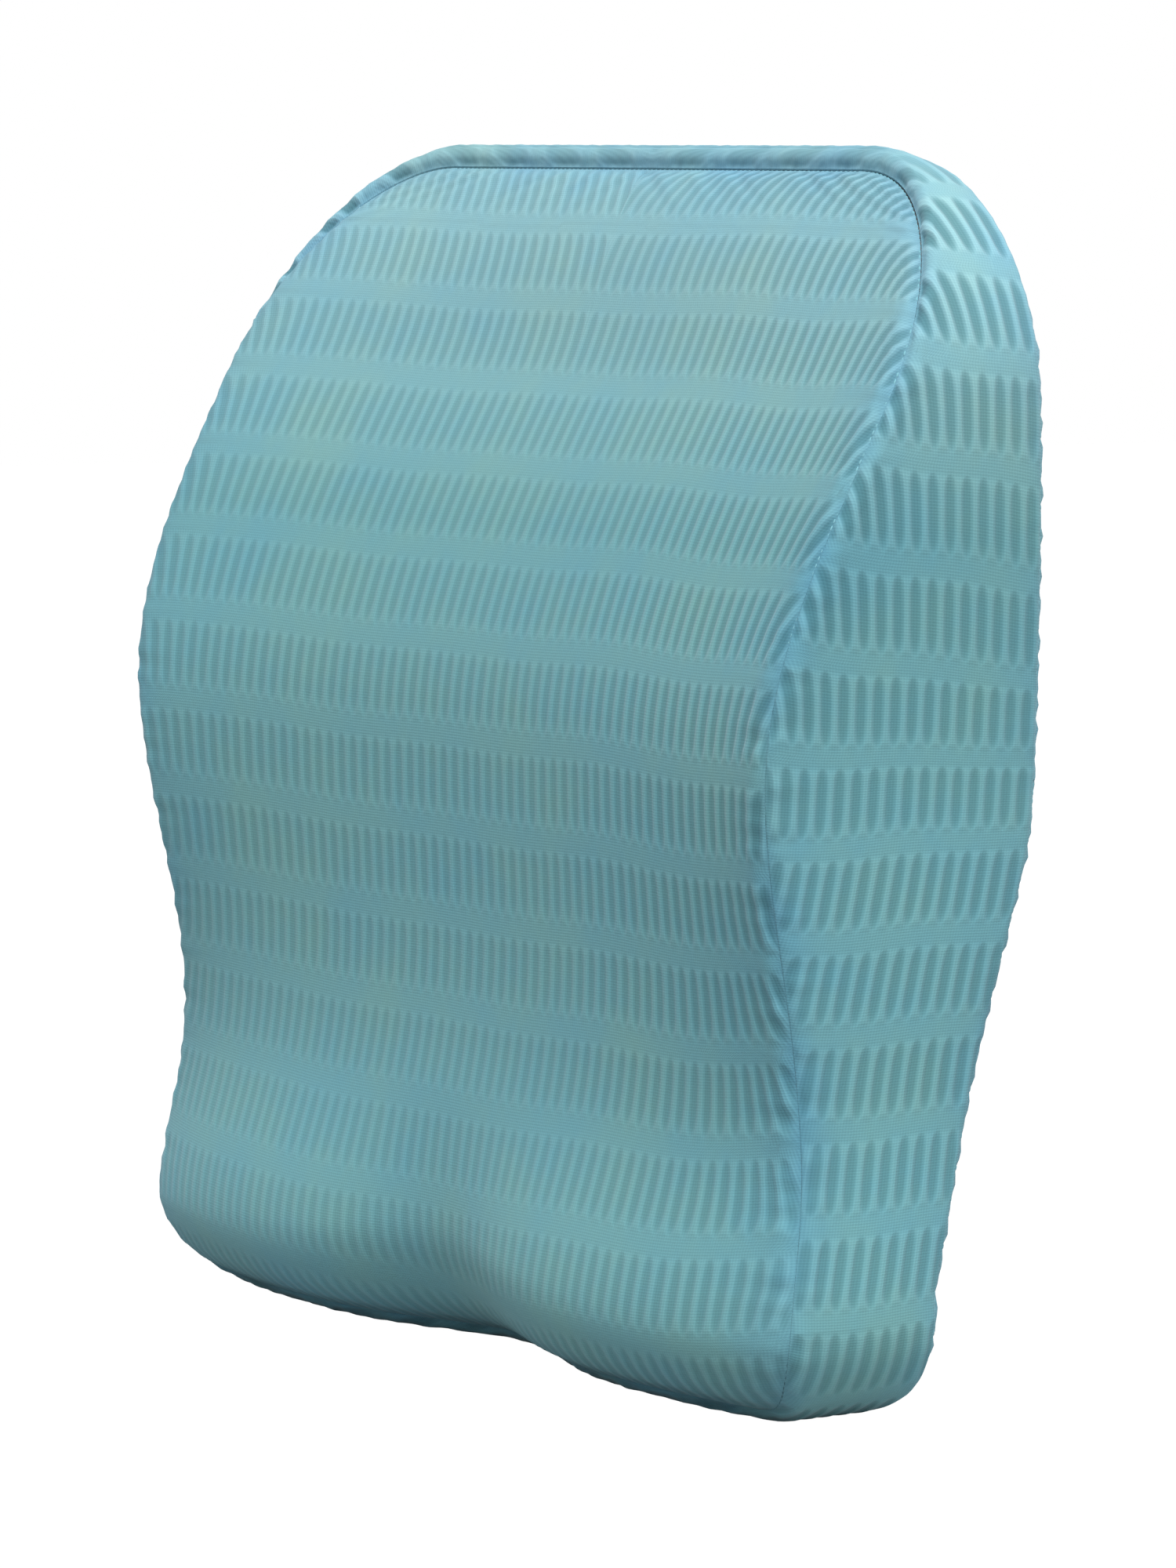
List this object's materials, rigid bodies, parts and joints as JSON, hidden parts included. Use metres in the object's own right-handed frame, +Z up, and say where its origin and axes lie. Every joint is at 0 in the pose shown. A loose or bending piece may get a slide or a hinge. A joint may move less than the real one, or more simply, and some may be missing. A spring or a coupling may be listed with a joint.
{
  "type": "lumbar support cushion",
  "caption": "Moulded lumbar support cushion with a ribbed knit cover, concave backrest face, foot lobes, a back zipper and an elastic strap with a side-release buckle.",
  "frame": {"origin": "bottom centre of the whole cushion's bounding box, on the surface that it stands on", "axes": "+Z up; -Y is the front that the sitter leans on, +Y the back that rests on the chair; +X is the side that the strap's socket half is sewn to"},
  "size_m": [0.401, 0.128, 0.412],
  "materials": {
    "cover_knit": "ribbed stretch knit, soft matte with a faint sheen",
    "seam_thread": "tonal overlocked seam",
    "zipper_tape": "woven polyester tape",
    "zipper_coil": "nylon coil",
    "zipper_metal": "lacquered zinc",
    "webbing": "elastic webbing",
    "anchor_fabric": "woven reinforcement tab",
    "buckle_plastic": "fine-grained acetal",
    "lining": "thin white tricot",
    "foam": "open-cell memory foam",
    "label_satin": "blank satin"
  },
  "bodies": {
    "cushion": {"cover_front": "cover_knit", "cover_side_strip": "cover_knit", "cover_base": "cover_knit", "cover_back_upper": "cover_knit", "cover_back_lower": "cover_knit", "front_seam": "seam_thread", "back_seam": "seam_thread", "zip_tape_upper": "zipper_tape", "zip_tape_lower": "zipper_tape", "zip_coil_upper": "zipper_coil", "zip_coil_lower": "zipper_coil", "zip_stop_closed": "zipper_metal", "zip_stop_open": "zipper_metal", "strap_socket_half": "webbing", "strap_anchor_plug": "anchor_fabric", "strap_anchor_socket": "anchor_fabric", "buckle_socket": "buckle_plastic", "liner_front": "lining", "liner_back": "lining", "foam_core": "foam", "care_label": "label_satin"},
    "zip_slider": {"zip_slider": "zipper_metal"},
    "zip_pull": {"zip_pull_tab": "zipper_metal"},
    "buckle_plug": {"buckle_plug": "buckle_plastic", "buckle_prongs": "buckle_plastic", "strap_plug_half": "webbing"}
  },
  "joints": [
    {"name": "zipper", "type": "slide", "parent": "cushion", "child": "zip_slider", "axis": [1, 0, 0], "range_m": [0, 0.26]},
    {"name": "pull_tab", "type": "hinge", "parent": "zip_slider", "child": "zip_pull", "pos_m": [-0.1309, 0.05752, 0.20808], "axis": [0, -0.042, 0.9991], "range_deg": [0, 170]},
    {"name": "buckle", "type": "slide", "parent": "cushion", "child": "buckle_plug", "axis": [-1, 0, 0], "range_m": [0, 0.032], "deforming": ["buckle_prongs", "strap_plug_half"]}
  ]
}
